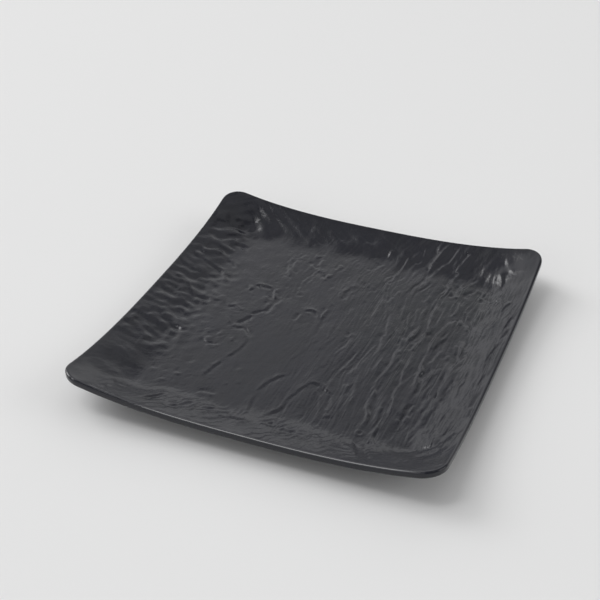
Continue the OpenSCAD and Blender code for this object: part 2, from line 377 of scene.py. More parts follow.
# Steps whose faces turn to the front and the right
FRONT_FACING_STEPS = [
    (2.2, 0.22, [(-60, 122), (-48, 115.5), (-42.7, 111.8), (-37, 107.5), (-31, 103)]),
    (1, 0.3, [(-33.3, 89), (-36, 83.5)]),
    (1.2, 0.3, [(-30, 69.2), (-26, 68.3), (-22, 67.2)]),
    (1.2, 0.35, [(-96.5, 39), (-94, 37.2), (-90, 34)]),
    (1.4, 0.4, [(-121, 67), (-112, 68.3), (-105.5, 67.3), (-98, 68.3)]),
    (1.6, 0.6, [(-107, 76), (-101.5, 78.5), (-97, 80), (-91, 78)]),
    (1.2, 0.45, [(-122, 58.5), (-116.5, 54.3), (-111, 56.8)]),
    (1.2, 0.3, [(-98.3, 58.5), (-93, 55.5), (-86, 51.5)]),
    (1.5, 0.2, [(-96.8, 106), (-98.3, 98.5)]),
    (1.8, 0.36, [(-110.5, 97), (-105, 104.5)]),
    (1.6, 0.45, [(-113.5, 101.5), (-110, 106)]),
    (2.6, 0.6, [(-126, 90), (-121, 93.5), (-115, 95.5)]),
    (2.6, 0.65, [(-117.5, 74.5), (-110, 83), (-103, 92)]),
    (1.1, 0.34, [(-65.3, 33.5), (-62.5, 36), (-58, 36.2), (-51, 35.4)]),
    (1, 0.26, [(-67, 28), (-63.5, 29.5)]),
    (1, 0.3, [(-50, 26.5), (-49, 21), (-48.2, 16)]),
    (1, 0.32, [(-46.6, 35.5), (-45, 30), (-43.5, 24.5)]),
    (0.9, 0.34, [(-44.3, 18), (-44.3, 11), (-45.7, 6.5)]),
    (1, 0.32, [(-50.5, -16.3), (-45.8, -22), (-42.5, -27)]),
    (0.8, 0.36, [(-77, 10), (-73.7, 4.7), (-71, 4), (-68.2, 5), (-63.6, 2.7), (-58.5, -0.5)]),
    (1.5, 0.34, [(-97, 7), (-89, 8.2), (-84.5, 7.3), (-79, 6.8)]),
    (0.8, 0.32, [(-114, 20), (-110, 14.5), (-106.4, 10), (-101.8, 4.5), (-99, 2)]),
    (0.9, 0.36, [(-18.8, 16.5), (-16.5, 19), (-12.7, 19.6), (-8.5, 17.5), (-7, 12)]),
    (1, 0.3, [(-2.6, 29), (-2.8, 14), (-1, 4.5), (2.5, 0)]),
    (1.2, 0.26, [(0.8, 57), (1.2, 48), (0.6, 38)]),
    (1, 0.36, [(75.5, 104), (73.8, 99.5), (71.8, 95)]),
    (1.2, 0.36, [(73.5, 91.5), (73.5, 81), (76.5, 74.5)]),
    (1.5, 0.34, [(80.5, 75.5), (86, 83.5), (88, 89)]),
    (1.1, 0.45, [
        (61.5, 60.5), (64, 50), (64.6, 41), (66.4, 31.8), (66.4, 22.7), (65, 15.5), (63, 9),
        (62, 2),
    ]),
    (1, 0.3, [(75.5, 26.5), (71.8, 22.3)]),
    (1.2, 0.55, [(103.2, 106.5), (106.8, 99), (108.2, 92)]),
    (2, 0.5, [(105.7, 95), (107.7, 85.5), (109.7, 79)]),
    (0.9, 0.45, [(119, 72), (116.5, 64.5), (115.3, 58)]),
    (0.9, 0.36, [(96.6, 43.5), (98.8, 35.5)]),
    (1.3, 0.4, [(101, 24), (101.5, 13.6), (102.3, 1.5)]),
    (1.1, 0.36, [(86.3, 24), (83.6, 15.5), (82, 6)]),
    (0.8, 0.34, [(126, 40), (124.6, 31), (123.5, 26)]),
    (0.8, 0.36, [(123.4, 24), (121.4, 9), (120.5, 2.7), (119, -7)]),
    (0.7, 0.3, [(122.9, 10), (121.8, -8)]),
    (0.9, 0.4, [(125, 56), (124, 48), (123, 37)]),
    (1, 0.35, [(62.2, -1), (63.2, -8), (64, -14.5)]),
    (1, 0.55, [
        (58.4, -38), (59.4, -46), (61.8, -51.5), (62.3, -60.5), (62.8, -68), (65, -73),
        (66, -80.5), (67, -85.5),
    ]),
    (1.2, 0.4, [(42.9, -47.5), (42.2, -60.5)]),
    (1, 0.34, [(69.4, -52.5), (70.5, -67.7), (72, -80.5)]),
    (1, 0.4, [(73.9, -81.5), (74, -90.5), (76, -97), (80, -103)]),
    (1, 0.45, [
        (80.4, -1), (80.6, -11.4), (82.8, -17), (82.3, -24), (84.6, -33.5), (84, -46),
        (85, -53),
    ]),
    (1, 0.45, [(84.9, -51), (84, -60.5), (84.6, -68), (83.8, -77)]),
    (1, 0.4, [(96.4, -39.5), (96, -51.4), (94.8, -60)]),
    (2, 0.55, [
        (102, -2), (104, -17.7), (103, -27), (102.3, -36), (102.3, -49.5), (101.4, -59),
        (100.3, -68.5),
    ]),
    (0.7, 0.26, [(111.6, -4), (112.3, -13), (113, -22.3), (111.7, -29.5), (112.3, -36), (111.4, -45)]),
    (0.7, 0.26, [(111.5, -44), (111.8, -54), (110, -64), (108.7, -77)]),
    (0.7, 0.32, [(124, -12), (122, -30)]),
    (1.1, 0.34, [(124.8, -34), (124.2, -55)]),
    (0.8, 0.4, [(126, -50), (126, -64)]),
    (0.8, 0.34, [(118.3, -63), (116.4, -85)]),
    (2.6, 0.5, [(113.5, -80), (116.5, -91)]),
    (0.9, 0.32, [(104, -95), (115, -91)]),
    (2, 0.45, [(102, -104.5), (112, -100.6), (119, -95)]),
    (1.1, 0.42, [(60.5, -99), (65, -102.3), (67.7, -107), (70.6, -112.5), (73.5, -121)]),
    (1.1, 0.38, [(67, -101.7), (72, -102), (75, -107), (78.6, -114), (82, -121)]),
    (1.4, 0.5, [(9, -102.8), (14.8, -104.8)]),
    (1.8, 0.4, [(15.5, -108.6), (24, -108.8), (31.5, -107.7)]),
    (1.8, 0.3, [(43.5, -105.3), (49.5, -103.8)]),
    (1.4, 0.34, [(35, -103), (34.6, -110)]),
    (1.1, 0.55, [(-65.3, -100), (-68.2, -107), (-72, -112.7), (-77, -120)]),
    (1.1, 0.38, [(-53.8, -101), (-55.5, -109.5), (-60.5, -115.5)]),
    (2, 0.55, [(-46.2, -100), (-46.5, -105), (-51, -112.3), (-58.5, -118.5)]),
    (1.1, 0.36, [(-42.7, -98.5), (-43.8, -107)]),
    (1.1, 0.38, [(-40, -98.5), (-41, -108.6), (-40.2, -112.3), (-43, -121)]),
    (2, 0.5, [(-40, -109.5), (-35.5, -106.4), (-29, -105.5)]),
    (1.8, 0.3, [(-24, -107.3), (-17.5, -109.8)]),
    (0.9, 0.4, [(-101.8, -105), (-99.3, -112)]),
    (0.9, 0.4, [(-101, -116), (-99.4, -123)]),
    (1.2, 0.35, [(-78, -108), (-74, -111.5)]),
    (1.4, 0.26, [(-101, -82.5), (-108, -87.3)]),
    (2, 0.34, [(-115, -18), (-109, -9.7), (-103.6, -7.3), (-97.3, -8.6), (-93.5, -11)]),
    (2, 0.36, [(-109, -19.5), (-104, -17), (-97, -16.5)]),
    (2.2, 0.36, [(-109, -30.5), (-105, -27.3), (-101, -26.5)]),
    (1.8, 0.5, [(-99, -35), (-94, -32.3), (-90, -37)]),
    (1.5, 0.24, [(-76.5, -28), (-71, -32)]),
    (1.2, 0.3, [(-72.5, -36), (-68.5, -40.7), (-64, -42.5)]),
    (0.8, 0.3, [(-67, -7), (-62, -12.2), (-60.7, -16)]),
    (1, 0.26, [(-51.8, -29), (-50.3, -34)]),
    (1, 0.34, [(-124.2, -30), (-122.7, -40.5), (-122.2, -48)]),
    (0.9, 0.28, [(-114.7, -30.5), (-112.5, -39.5)]),
    (1, 0.26, [(31.7, 108), (31.3, 100)]),
    (1.2, 0.28, [(28.7, 109), (27.5, 104)]),
    (1.4, 0.4, [(53, 109), (54.5, 102)]),
    (0.8, 0.24, [(-43.6, -23), (-42, -30), (-42.3, -37), (-43.6, -43.2), (-45.5, -48.7), (-48.2, -54)]),
    (1, 0.26, [(-47.7, -53), (-49.5, -60.5), (-51.4, -68), (-52.8, -78)]),
    (0.9, 0.28, [
        (1.5, -51.8), (-1, -54.5), (-4.5, -57.7), (-7.7, -62.3), (-10, -67.7), (-11.8, -74),
        (-12.4, -79.5),
    ]),
    (0.8, 0.25, [(-12, -79), (-11.2, -90), (-9.2, -98.5), (-7, -104)]),
    (0.9, 0.27, [(23.8, -54.5), (22, -56), (18.5, -56.2), (16, -58.8)]),
    (0.9, 0.27, [(18.5, -56.2), (15, -60.5), (12.7, -67.7), (11, -74), (9.5, -80.5)]),
    (1, 0.38, [(9.6, -79.5), (9, -87.7), (6, -93.2), (2.5, -98.5)]),
]

# Cracks: grooves with a half width, a depth and places
CRACKS = [
    (1.1, 0.7, [(-45, 8), (-48.2, 5), (-51, 1.8), (-53.5, 0.5)]),
    (1.5, 0.9, [(-50, 0), (-52.5, -6.5), (-55.3, -11), (-57.6, -15.5)]),
]

# Single knobs and hollows: place, radius, height
KNOBS = [
    (-45.5, 101, 1.8, -0.3), (-37.2, 77.3, 1.5, -0.35), (-96.5, 91, 2.4, -0.35),
    (-91, 92.5, 1.8, -0.22), (-114, 33, 1.8, 0.4), (-120, 18.5, 1.9, 0.4),
    (-111.8, 5, 1.9, 0.45), (-105.5, 24.5, 2.2, 0.3), (-107.3, 17, 3, 0.3),
    (-105.8, -3.4, 2.2, 0.36), (-100.5, -4.4, 1.9, 0.35), (-111.3, -20, 1.8, 0.5),
    (-116, -32.5, 1.7, 0.36), (-112.6, -45, 2, 0.65), (-106.3, -53, 2.2, 0.4),
    (-105, -35, 3.2, 0.45), (-95.2, -40, 2, 0.36), (-87.3, -42.3, 2, 0.36),
    (-68.2, -36, 1.9, 0.36), (-123, -54, 1.8, 0.4), (-95.5, -57, 2.8, 0.3),
    (-105.5, -42, 2.2, -0.3), (-109, -48.6, 2, -0.3), (-35, -77, 1.4, 0.26),
    (-28, -72.8, 1.3, 0.2), (-88.6, -91.6, 1.3, 0.22), (-82.3, -113, 2, -0.34),
    (-41.8, 41.8, 1.3, -0.24), (-33.3, 45.3, 2, -0.22), (-30.9, 34.5, 1.4, -0.24),
    (-36, 29, 1.2, -0.2), (-51.4, 45, 1.3, -0.3), (-45, 53.6, 1.4, -0.24),
    (-43.6, 61.8, 1.4, -0.24), (3.3, 59.5, 1.8, 0.3), (-14.5, 16, 1.3, 0.24),
    (6.5, 85.5, 1.5, -0.26), (78.2, 73.6, 1.5, 0.6), (74.3, 74, 1.3, -0.45),
    (96.4, 77.3, 1.5, 0.6), (99, 78.5, 1.2, -0.35), (95, 101, 1.3, 0.35),
    (94.5, 95.5, 1.2, 0.26), (102, 105.5, 1.3, 0.36), (102, 101, 1.5, -0.34),
    (90, 57, 1.2, 0.24), (105, 7, 1.2, 0.4), (61, -3.8, 1.2, 0.5),
    (44.6, -45.3, 1.2, 0.35), (39, -83.3, 1.5, 0.35), (37.3, -78, 1.3, 0.28),
    (37.7, -95.5, 1.5, 0.28), (41.7, -85.3, 1.3, -0.34), (38.5, -86.5, 1.1, -0.26),
    (36.8, -98, 1.3, -0.3), (31.5, -107.3, 1.5, 0.36), (54, -107.3, 1.5, -0.45),
    (69.5, -108, 1.5, -0.4), (107.5, -104, 2, 0.34), (72.4, -106.5, 1.9, 0.36),
]

# Small rings: place, radius, height of the raised rim
RINGS = [
    (65, -91.5, 2.2, 0.4),
    (41.2, -108, 2.2, 0.36),
    (-108, 61, 1.8, 0.3),
    (-117.5, 87.5, 2, 0.3),
]

# The ways that the steps' faces turn, seen from above
BACK_LEFT = (-0.6, 0.8)
FRONT_LEFT = (-0.3, -0.95)
FRONT_RIGHT = (0.6, -0.8)
# Share of a line over which it fades in from each end
END_FADE = 0.3
# How far to both sides a step's height reaches, in half widths
STEP_REACH = 4.5
# Height and half width of a step, as shares of what the lists give
STEP_GAIN = 1.25
LINE_THINNING = 0.68
# The most of a step's height that counts, for each millimetre of its half width
STEEPEST = 0.5
# How unevenly a line is raised along its way, and how far it wobbles sideways
LINE_UNEVENNESS = 0.45
LINE_WOBBLE = 0.35
# Points on each stretch of a smooth line
LINE_STEPS = 5
# Half width of a ring's rim, as a share of its radius
RIM_SHARE = 0.4
# Height of the noise between the drawn lines, as a share of what its areas give
NATURAL_GAIN = 1.7
# Width of the plain lip, and how far the slate lies below it
LIP_W = 2
LIP_SINK = 0.1
# Height from which the relief is held back, and how much farther it can reach
FREE_HEIGHT = 0.4
SPARE_HEIGHT = 0.3
# How far the border's bend wanders, and how far inside the rim it is first quite free to
BEND_DRIFT = 3.5
BEND_FREE = 24

# Cells of noise before it repeats, and what brings its range to about -1 to 1
NOISE_CELLS = 128
NOISE_GAIN = 1.6
# How much a broad and a fine noise bend the edges of layers, in layers
LAYER_BEND = 1.1
LAYER_FRAY = 0.4
# How abruptly layers tip over from one side to the other
LAYER_TIP = 2.5
# Share of each layer's width that its steep face takes
LAYER_FACE = 0.26
# Where the shells of the left border and the fan of the near right corner turn round
SHELL_X = -96
SHELL_Y = -46
FAN_X = 88
FAN_Y = -70


def hills(x, y, seed):
    """Smooth noise, about -1 to 1, with a hill or a hollow in each unit cell."""
    angles = np.random.default_rng(seed).uniform(0, 2 * math.pi, (NOISE_CELLS, NOISE_CELLS))
    cell_x = np.floor(x).astype(int)
    cell_y = np.floor(y).astype(int)
    in_x = x - cell_x
    in_y = y - cell_y

    def slope_part(step_x, step_y):
        angle = angles[(cell_x + step_x) % NOISE_CELLS, (cell_y + step_y) % NOISE_CELLS]
        return np.cos(angle) * (in_x - step_x) + np.sin(angle) * (in_y - step_y)

    ease_x = in_x * in_x * in_x * (in_x * (in_x * 6 - 15) + 10)
    ease_y = in_y * in_y * in_y * (in_y * (in_y * 6 - 15) + 10)
    front = slope_part(0, 0) * (1 - ease_x) + slope_part(1, 0) * ease_x
    back = slope_part(0, 1) * (1 - ease_x) + slope_part(1, 1) * ease_x
    return NOISE_GAIN * (front * (1 - ease_y) + back * ease_y)


def turned(x, y, heading):
    """How far along a heading in degrees from +X a place lies, and how far to its left."""
    turn = math.radians(heading)
    run = x * math.cos(turn) + y * math.sin(turn)
    return run, y * math.cos(turn) - x * math.sin(turn)


def streaks(x, y, heading, across, along, seed):
    """Noise drawn out along a heading, with a cell's size each way."""
    run, side = turned(x, y, heading)
    return hills(side / across, run / along, seed)


def area(x, y, left, right, front, back, blur):
    """1 inside a rectangle and 0 outside, with a soft border."""
    share = 1
    for low, high, place in ((left, right, x), (front, back, y)):
        share = share / (1 + np.exp((low - place) / blur))
        share = share / (1 + np.exp((place - high) / blur))
    return share


def smooth_line(places):
    """Closely set places on a smooth curve through the given ones."""
    given = np.array(places, dtype=float)
    given = np.vstack([2 * given[0] - given[1], given, 2 * given[-1] - given[-2]])
    t = np.linspace(0, 1, LINE_STEPS, endpoint=False)[:, None]
    parts = []
    for a, b, c, d in zip(given, given[1:], given[2:], given[3:]):
        linear = (c - a) * t
        square = (2 * a - 5 * b + 4 * c - d) * t**2
        cube = (3 * b - a - 3 * c + d) * t**3
        parts.append(0.5 * (2 * b + linear + square + cube))
    parts.append(given[-2:-1])
    return np.vstack(parts)


def along_line(x, y, places):
    """Distance from a line, positive on its left, and a fade towards its ends."""
    line = smooth_line(places)
    lengths = np.hypot(*(line[1:] - line[:-1]).T)
    before = np.concatenate([[0], np.cumsum(lengths)])
    nearest = np.full(x.shape, np.inf)
    side = np.zeros(x.shape)
    share = np.zeros(x.shape)
    for start, end, length, run in zip(line, line[1:], lengths, before):
        step_x, step_y = (end - start) / length
        from_x = x - start[0]
        from_y = y - start[1]
        t = np.clip(from_x * step_x + from_y * step_y, 0, length)
        away = np.hypot(from_x - t * step_x, from_y - t * step_y)
        closer = away < nearest
        nearest = np.where(closer, away, nearest)
        left = step_x * from_y - step_y * from_x
        side = np.where(closer, np.sign(left), side)
        share = np.where(closer, (run + t) / before[-1], share)
    fade = np.clip(np.minimum(share, 1 - share) / END_FADE, 0, 1)
    return nearest * side, fade * fade * (3 - 2 * fade)


def add_line(height, x, y, places, half_width, profile):
    """Adds a profile along a line to the heights within three times its reach."""
    margin = 3 * STEP_REACH * half_width
    low = np.min(places, axis=0) - margin
    high = np.max(places, axis=0) + margin
    near = (x > low[0]) & (x < high[0]) & (y > low[1]) & (y < high[1])
    distance, fade = along_line(x[near], y[near], places)
    uneven = 1 + LINE_UNEVENNESS * hills(x[near] / 4, y[near] / 6, 43)
    height[near] += uneven * fade * profile(distance / half_width)


def raised_side(places, turn):
    """1 if a step whose face turns that way has its high side on the line's left."""
    run_x = places[-1][0] - places[0][0]
    run_y = places[-1][1] - places[0][1]
    return 1 if run_x * turn[1] - run_y * turn[0] < 0 else -1


def drawn_relief(x, y):
    """The listed steps, cracks, knobs and rings."""
    height = np.zeros(x.shape)
    lists = (BACK_FACING_STEPS, GLINTS, FRONT_FACING_STEPS)
    for turn, steps in zip((BACK_LEFT, FRONT_LEFT, FRONT_RIGHT), lists):
        for half_width, step, places in steps:
            signed = STEP_GAIN * raised_side(places, turn) * min(step, STEEPEST * half_width)

            def profile(d):
                return signed * np.tanh(d) * np.exp(-((d / STEP_REACH) ** 2))

            add_line(height, x, y, places, LINE_THINNING * half_width, profile)
    for half_width, depth, places in CRACKS:

        def profile(d):
            return -depth * np.exp(-d * d)

        add_line(height, x, y, places, half_width, profile)
    for knob_x, knob_y, radius, knob in KNOBS:
        away = np.hypot(x - knob_x, y - knob_y) / radius
        height += knob * np.exp(-away * away)
    for ring_x, ring_y, radius, rim in RINGS:
        away = (np.hypot(x - ring_x, y - ring_y) - radius) / (RIM_SHARE * radius)
        height += rim * np.exp(-away * away)
    return height


def terraces(field):
    """Saw teeth of a field: a steep face at each whole number, then a gentle fall."""
    part = field - np.floor(field)
    face = np.clip(part / LAYER_FACE, 0, 1)
    return face * face * (3 - 2 * face) - part


def layers(x, y, heading, apart, along, seed):
    """The broken edges of thin layers that crop out along a heading, a distance apart."""
    run, side = turned(x, y, heading)
    run = run / along
    side = side / apart
    bend = LAYER_BEND * hills(side / 2, run, seed)
    fray = LAYER_FRAY * hills(side, run * 2.6, seed + 1)
    sway = np.tanh(LAYER_TIP * hills(side / 4 + 9, run * 0.8, seed + 2))
    return sway * terraces(side + bend + fray)


def natural_relief(x, y):
    """The slate's streaks, wrinkles and dimples between the drawn lines.

    An area is given by its left, right, front and back, and by the blur of its border.
    Layers and streaks are given by their heading, distance apart, length and seed.
    """
    # Long layers on the right half, in the middle and in front of it, which sway, and lean
    # to the left in the middle
    wander = 2.2 * hills(x / 17, y / 26, 11) + 0.6 * hills(x / 5, y / 9, 12)
    lean = -0.24 * area(x, y, -60, 62, -5, 70, 8)
    swayed = x - lean * (y - 30) + wander
    quiet_corner = 0.75 * area(x, y, 82, 132, 88, 132, 5)
    right = area(x, y, 18, 112, -96, 112, 8) * (1 - quiet_corner)
    height = 0.46 * right * layers(swayed, y, 90, 5, 58, 101)
    height += 0.18 * right * layers(swayed, y, 88, 2.8, 36, 104)
    height += 0.34 * area(x, y, -48, 34, -6, 100, 9) * layers(swayed, y, 92, 4.2, 20, 107)
    height += 0.2 * area(x, y, -6, 40, -98, -2, 7) * layers(swayed, y, 90, 4.6, 30, 146)

    # The right border, then the back: its floor, its border and the right part of that
    height += 0.26 * area(x, y, 100, 132, -90, 95, 4) * layers(x, y, 87, 3.6, 34, 110)
    height += 0.17 * area(x, y, -100, -40, 8, 102, 8) * layers(x, y, -56, 3.4, 11, 113)
    height += 0.2 * area(x, y, -105, 40, 99, 132, 4) * streaks(x, y, -33, 5, 30, 26)
    height += 0.42 * area(x, y, 28, 90, 97, 132, 4) * streaks(x, y, 66, 4.6, 28, 116)

    # The far left corner
    corner = area(x, y, -132, -100, 50, 132, 4)
    height += 0.16 * corner * layers(x, y, 48, 8, 24, 119)
    height += 0.42 * corner * streaks(x, y, 42, 5.4, 17, 122)

    # Shells and lumps on the left border, and the floor beside it
    shell = np.hypot(x - SHELL_X, (y - SHELL_Y) * 0.9)
    round_shell = np.arctan2(y - SHELL_Y, x - SHELL_X) * 14
    border = area(x, y, -132, -84, -66, 44, 6)
    height += 0.1 * border * layers(shell, round_shell, 90, 7, 15, 125)
    height += 0.42 * border * hills(x / 7.5, y / 6, 29)
    height += 0.18 * area(x, y, -90, -46, -64, 34, 8) * layers(x, y, 10, 6, 12, 128)

    # The left of the front, its border, and a fan in its right corner
    height += 0.2 * area(x, y, -132, -46, -108, -56, 7) * layers(x, y, 12, 5, 14, 131)
    height += 0.4 * area(x, y, -112, 100, -125, -98, 3) * layers(x, y, 55, 7, 17, 134)
    fan = np.hypot(x - FAN_X, y - FAN_Y)
    round_fan = np.arctan2(y - FAN_Y, x - FAN_X) * 40
    fan_area = area(x, y, 84, 132, -132, -84, 5)
    height += 0.2 * fan_area * layers(fan, round_fan, 90, 4, 26, 137)

    # Facets in the far right corner, and small dimples everywhere
    height += 0.2 * area(x, y, 68, 112, 70, 112, 5) * layers(x, y, 62, 6, 10, 140)
    height += 0.012 * hills(x / 2.9, y / 3.7, 143) + 0.03 * hills(x / 5.3, y / 6.1, 144)
    return height


def bent_rise(x, y, inside):
    """Height of the border over the floor, with its bend wandering a few millimetres."""
    free = np.clip(inside / BEND_FREE, 0, 1)
    drift_x = BEND_DRIFT * free * hills(x / 23 + 5, y / 17, 151)
    drift_y = BEND_DRIFT * free * hills(x / 17, y / 23 + 5, 152)
    return rise(x + drift_x, y + drift_y)


def depth_inside(x, y):
    """Distance of each place in from the rim of the dish."""
    outer = HALF_W - UPPER_ROUND
    beyond = np.hypot(
        np.maximum(abs(x) - (HALF_W - CORNER_R), 0),
        np.maximum(abs(y) - (HALF_W - CORNER_R), 0),
    )
    inner = CORNER_R - UPPER_ROUND - beyond
    straight = np.minimum(outer - abs(x), outer - abs(y))
    return np.where(beyond > 0, np.minimum(straight, inner), straight)


def relief(x, y, inside):
    """Height of the slate relief at each place, in millimetres.

    The slate lies a little below the plain lip of the rim and fades out into it.
    """
    shift_x = x + LINE_WOBBLE * hills(x / 5, y / 7, 41)
    shift_y = y + LINE_WOBBLE * hills(x / 7, y / 5, 42)
    natural = NATURAL_GAIN * natural_relief(x, y)
    height = drawn_relief(shift_x, shift_y) + natural
    over = np.maximum(abs(height) - FREE_HEIGHT, 0)
    held = np.minimum(abs(height), FREE_HEIGHT) + SPARE_HEIGHT * np.tanh(over / SPARE_HEIGHT)
    height = np.copysign(held, height) - LIP_SINK
    fade = np.clip(inside / LIP_W, 0, 1)
    return height * fade * fade * (3 - 2 * fade)


# The plate's body


def coarse_ring(bm, unit, half, r, level, follows):
    """A separate ring with one vertex for every few cells of the dish's rim."""
    places = []
    for side, cells in enumerate((CELLS_Y, CELLS_X, CELLS_Y, CELLS_X)):
        steps = cells // COARSE_CELLS
        for step in range(steps):
            along = 2 * step / steps - 1
            x, y = [(1, along), (-along, 1), (-1, -along), (along, -1)][side]
            places.append((x + SIDE_BIAS * (1 - x**2), y))
    made = bmesh.ops.create_circle(bm, segments=len(places), radius=1)["verts"]
    for vert, (x, y) in zip(made, places):
        vert[unit] = Vector((x, y, 0))
    place_ring(made, unit, half, r, level, follows)
    return edges_among(made, bm.edges)


def pad_recess_rings(bm):
    """The mouths of the four recesses, as loops of edges in the foot's band."""
    loops = []
    for side_x in (-1, 1):
        for side_y in (-1, 1):
            place = Vector((side_x * PAD_OFFSET, side_y * PAD_OFFSET, FOOT_Z))
            verts = bmesh.ops.create_circle(
                bm,
                segments=RECESS_SIDES,
                radius=PAD_R + PAD_GAP,
                matrix=Matrix.Translation(place),
            )["verts"]
            loops.append(list({edge for vert in verts for edge in vert.link_edges}))
    return loops


def close_upward(bm, edges, level):
    """Extrudes a loop straight up to a level and closes it there with one face."""
    verts, lid = extrude(bm, edges)
    for vert in verts:
        vert.co.z = level
    bmesh.ops.contextual_create(bm, geom=lid)


def make_dish(bm, unit):
    """The top face with its relief, on a grid that is closer on the right."""
    bmesh.ops.create_grid(bm, x_segments=CELLS_X, y_segments=CELLS_Y, size=1)
    verts = list(bm.verts)
    for vert in verts:
        vert.co.x += SIDE_BIAS * (1 - vert.co.x**2)
        vert[unit] = vert.co
    unit_x, unit_y = np.array([vert[unit].xy for vert in verts]).T
    x, y = outline(unit_x, unit_y, HALF_W - UPPER_ROUND, CORNER_R - UPPER_ROUND)
    inside = depth_inside(x, y)
    settle(verts, x, y, FLOOR_Z + bent_rise(x, y, inside) + relief(x, y, inside))
    return [edge for edge in bm.edges if edge.is_boundary]


def make_edge(bm, ring, unit):
    """The upper arris, the wall and the lower arris, from the dish's rim.

    A row is how far it is drawn in, its level, and how far in from it the dish's height
    is read, so that the upper arris has the same section all the way round.
    """
    rows = [(inset, FLOOR_Z - drop, UPPER_ROUND - inset) for inset, drop in upper_arris()]
    rows.append((0, FLOOR_Z - UPPER_ROUND - WALL_HEM, UPPER_ROUND))
    wall_foot = UNDERSIDE_Z + LOWER_ROUND
    rows += [(0, wall_foot + WALL_HEM, 0), (0, wall_foot, 0)]
    for angle in LOWER_ARRIS_ANGLES:
        inset, rise_up = arc_place(LOWER_ROUND, angle)
        rows.append((inset, UNDERSIDE_Z + rise_up, 0))
    for inset, level, read_in in rows:
        half = HALF_W - inset
        ring = extrude_ring(bm, ring, unit, half, CORNER_R - inset, level, inset=read_in)
    return ring


def make_underside(bm, ring, unit):
    """The underside of the border, in wider steps, in to the foot."""
    edge_half = HALF_W - LOWER_ROUND
    edge_r = CORNER_R - LOWER_ROUND
    steps = [1 - step / BORDER_STEPS for step in range(1, BORDER_STEPS + 1)]
    halves = [FLOOR_HALF + (edge_half - FLOOR_HALF) * share for share in steps]
    first = halves.pop(0)
    wide_ring = coarse_ring(bm, unit, first, edge_r * first / edge_half, UNDERSIDE_Z, True)
    bmesh.ops.bridge_loops(bm, edges=ring + wide_ring)
    ring = wide_ring
    for half in halves:
        ring = extrude_ring(bm, ring, unit, half, edge_r * half / edge_half, UNDERSIDE_Z)
    return extrude_ring(bm, ring, unit, FOOT_HALF, FOOT_R, UNDERSIDE_Z, False)


def make_foot(bm, ring, unit):
    """The foot's outer wall, its band round the pads' recesses, and its inner wall."""
    ring = extrude_ring(bm, ring, unit, FOOT_HALF, FOOT_R, FOOT_Z, False)
    inner = coarse_ring(bm, unit, FOOT_INNER_HALF, FOOT_INNER_R, FOOT_Z, False)
    recesses = pad_recess_rings(bm)
    band = ring + inner + [edge for loop in recesses for edge in loop]
    bmesh.ops.triangle_fill(bm, edges=band, use_beauty=True, normal=(0, 0, -1))
    close_upward(bm, inner, UNDERSIDE_Z)
    for loop in recesses:
        close_upward(bm, loop, RECESS_Z)


def make_plate_body(material):
    """The whole moulding, grown outwards from the dish and round to the underside."""
    bm = bmesh.new()
    unit = bm.verts.layers.float_vector.new("unit")
    ring = make_dish(bm, unit)
    ring = make_edge(bm, ring, unit)
    ring = make_underside(bm, ring, unit)
    make_foot(bm, ring, unit)
    bmesh.ops.recalc_face_normals(bm, faces=bm.faces)
    bmesh.ops.scale(bm, vec=Vector((MM, MM, MM)), verts=bm.verts)
    body = add_mesh("slate_plate", bm, material)
    body.data.polygons.foreach_set("use_smooth", [True] * len(body.data.polygons))
    body.data.set_sharp_from_angle(angle=math.radians(CREASE_DEGREES))
    return body


# Materials

# Distances in metres over which the looks change: from the slate to the lip, outwards from
# where the corners begin to turn, and where the fine ridges set in, to the right and forward
LIP_FADE = (0.009, 0.0125)
RIDGES_RIGHTWARD = (-0.03, 0.05)
RIDGES_FORWARD = (0.11, 0.08)
# Share of the fine ridges that is left on the left side
LEAST_RIDGES = 0.15
# Height of the grain beside that of the ridges
GRAIN_SHARE = 0.6
# Z of the normal from which a face has its whole bump
UPWARD_ENOUGH = 0.3


def set_inputs(tree, node, inputs):
    """Joins each input of a node to the socket given for it, or sets it to a plain value."""
    for key, value in inputs.items():
        if isinstance(value, bpy.types.NodeSocket):
            tree.links.new(value, node.inputs[key])
        else:
            node.inputs[key].default_value = value


def add_node(tree, kind, inputs=None, **settings):
    """A new shader node with its settings, and its inputs by name or by number."""
    node = tree.nodes.new("ShaderNode" + kind)
    for key, value in settings.items():
        setattr(node, key, value)
    set_inputs(tree, node, inputs or {})
    return node


def noise(tree, place, scale, **more):
    inputs = {"Vector": place, "Scale": scale, **more}
    return add_node(tree, "TexNoise", inputs).outputs["Fac"]


def calculate(tree, operation, *terms):
    inputs = dict(enumerate(terms))
    return add_node(tree, "Math", inputs, operation=operation).outputs["Value"]


def calculate_vector(tree, operation, *terms):
    node = add_node(tree, "VectorMath", dict(enumerate(terms)), operation=operation)
    is_number = operation in ("LENGTH", "DOT_PRODUCT")
    return node.outputs["Value" if is_number else "Vector"]


def between(tree, value, low, high, to_low=0, to_high=1, form="LINEAR"):
    """A value carried over from the range of low to high to another, and held in it."""
    names = ("Value", "From Min", "From Max", "To Min", "To Max")
    inputs = dict(zip(names, (value, low, high, to_low, to_high)))
    node = add_node(tree, "MapRange", inputs, interpolation_type=form)
    return node.outputs["Result"]


def tone(tree, value, dark, light, start=0, end=1):
    """The colour that a value from start to end picks between a dark and a light one."""
    node = add_node(tree, "ValToRGB", {"Fac": value})
    for spot, position, color in zip(node.color_ramp.elements, (start, end), (dark, light)):
        spot.position = position
        spot.color = (*color, 1)
    return node.outputs["Color"]


def new_material(name):
    """A node material, its tree and its shader."""
    material = bpy.data.materials.new(name)
    material.use_nodes = True
    tree = material.node_tree
    return material, tree, tree.nodes["Principled BSDF"]


